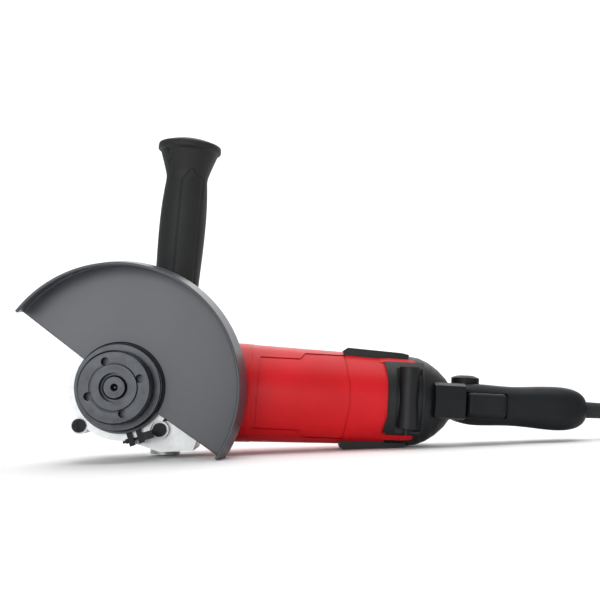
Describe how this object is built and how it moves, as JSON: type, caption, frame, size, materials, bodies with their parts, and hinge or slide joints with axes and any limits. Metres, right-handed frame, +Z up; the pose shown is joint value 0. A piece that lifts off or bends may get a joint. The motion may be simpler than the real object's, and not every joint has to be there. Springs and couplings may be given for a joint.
{
  "type": "angle grinder",
  "caption": "Tail-handle angle grinder lying on its side: gear head with wheel guard and locking nut, side handle, motor housing, turning rear handle with trigger, and mains cord.",
  "frame": {"origin": "on the floor under the middle of the tool's own box, without the cord", "axes": "+Z up from the floor, +X from the gear head to the rear handle, -Y the way the spindle points"},
  "size_m": [0.6079, 0.1209, 0.2289],
  "materials": {
    "cast_aluminium": "cast, fine grain",
    "black_steel": "blackened",
    "guard_steel": "satin paint",
    "bearing_steel": "ground",
    "lamination_steel": "matte",
    "copper_wire": "enamelled",
    "brass": "plain",
    "red_plastic": "semi-gloss moulded",
    "black_plastic": "fine texture",
    "black_rubber": "matte"
  },
  "bodies": {
    "machine": {"bearing_flange": "cast_aluminium", "brush_holder_lower": "brass", "brush_holder_upper": "brass", "carbon_brush_lower": "black_plastic", "carbon_brush_upper": "black_plastic", "cord_coil": "black_rubber", "cord_tube": "black_rubber", "field_coil_lower": "copper_wire", "field_coil_upper": "copper_wire", "flange_screw_1": "black_steel", "flange_screw_2": "black_steel", "flange_screw_3": "black_steel", "flange_screw_4": "black_steel", "front_bearing_outer": "bearing_steel", "gear_housing": "cast_aluminium", "motor_housing": "red_plastic", "nose_bearing_outer": "bearing_steel", "pad_lower": "black_rubber", "pad_upper": "black_rubber", "plug_body": "black_rubber", "plug_pin_1": "brass", "plug_pin_2": "brass", "rear_bearing_outer": "bearing_steel", "rear_cover_lower": "black_plastic", "rear_cover_screw_lower": "bearing_steel", "rear_cover_screw_upper": "bearing_steel", "rear_cover_upper": "black_plastic", "spindle_bearing_outer": "bearing_steel", "stator_core": "lamination_steel"},
    "spindle": {"spindle": "black_steel", "crown_gear": "bearing_steel", "inner_flange": "black_steel", "spindle_bearing_inner": "bearing_steel", "nose_bearing_inner": "bearing_steel"},
    "nut": {"locking_nut": "black_steel"},
    "armature": {"armature_shaft": "bearing_steel", "pinion": "bearing_steel", "armature_core": "lamination_steel", "armature_winding": "copper_wire", "commutator": "copper_wire", "fan": "black_plastic", "front_bearing_inner": "bearing_steel", "rear_bearing_inner": "bearing_steel"},
    "guard": {"guard_shell": "guard_steel", "guard_collar": "black_steel", "guard_clamp_screw": "black_steel"},
    "clamp_lever": {"guard_clamp_lever": "black_steel"},
    "side_handle": {"side_handle_grip": "black_rubber", "side_handle_stud": "bearing_steel"},
    "rear_handle": {"handle_shell_upper": "black_plastic", "handle_shell_lower": "black_plastic", "handle_screw_1": "bearing_steel", "handle_screw_2": "bearing_steel", "switch_module": "black_plastic", "strain_relief": "black_rubber"},
    "trigger": {"trigger": "black_plastic"},
    "release_button": {"release_button": "black_plastic"},
    "spindle_lock": {"spindle_lock_button": "black_plastic"}
  },
  "joints": [
    {"name": "armature_spin", "type": "hinge", "parent": "machine", "child": "armature", "pos_m": [-0.13962, 0.01605, 0.0494], "axis": [0.9962, 0, -0.0872], "continuous": true},
    {"name": "spindle_spin", "type": "hinge", "parent": "machine", "child": "spindle", "pos_m": [-0.13962, 0.01605, 0.0494], "axis": [0, -1, 0], "continuous": true},
    {"name": "nut_off", "type": "slide", "parent": "spindle", "child": "nut", "axis": [0, -1, 0], "range_m": [0, 0.014]},
    {"name": "guard_swing", "type": "hinge", "parent": "machine", "child": "guard", "pos_m": [-0.13962, 0.01605, 0.0494], "axis": [0, -1, 0], "range_deg": [-90, 90]},
    {"name": "clamp_open", "type": "hinge", "parent": "guard", "child": "clamp_lever", "pos_m": [-0.13031, -0.0258, 0.01463], "axis": [0.9659, 0, 0.2588], "range_deg": [0, 55]},
    {"name": "side_handle_off", "type": "slide", "parent": "machine", "child": "side_handle", "axis": [0.1219, 0, 0.9925], "range_m": [0, 0.016]},
    {"name": "handle_turn", "type": "hinge", "parent": "machine", "child": "rear_handle", "pos_m": [-0.13962, 0.01605, 0.0494], "axis": [0.9962, 0, -0.0872], "range_deg": [-90, 90]},
    {"name": "trigger_pull", "type": "hinge", "parent": "rear_handle", "child": "trigger", "pos_m": [0.11988, 0.00255, 0.0267], "axis": [-0.0872, 0, -0.9962], "range_deg": [0, 7], "stiffness_Nm_per_rad": 0.6, "springref_deg": -8.59},
    {"name": "release_press", "type": "slide", "parent": "rear_handle", "child": "release_button", "axis": [-0.0872, 0, -0.9962], "range_m": [0, 0.0022], "stiffness_N_per_m": 700, "springref_m": -0.001},
    {"name": "lock_press", "type": "slide", "parent": "machine", "child": "spindle_lock", "axis": [0, -1, 0], "range_m": [0, 0.005], "stiffness_N_per_m": 500, "springref_m": -0.001}
  ],
  "couplings": [
    {"joint": "spindle_spin", "follows": "armature_spin", "ratio": -0.33333}
  ]
}
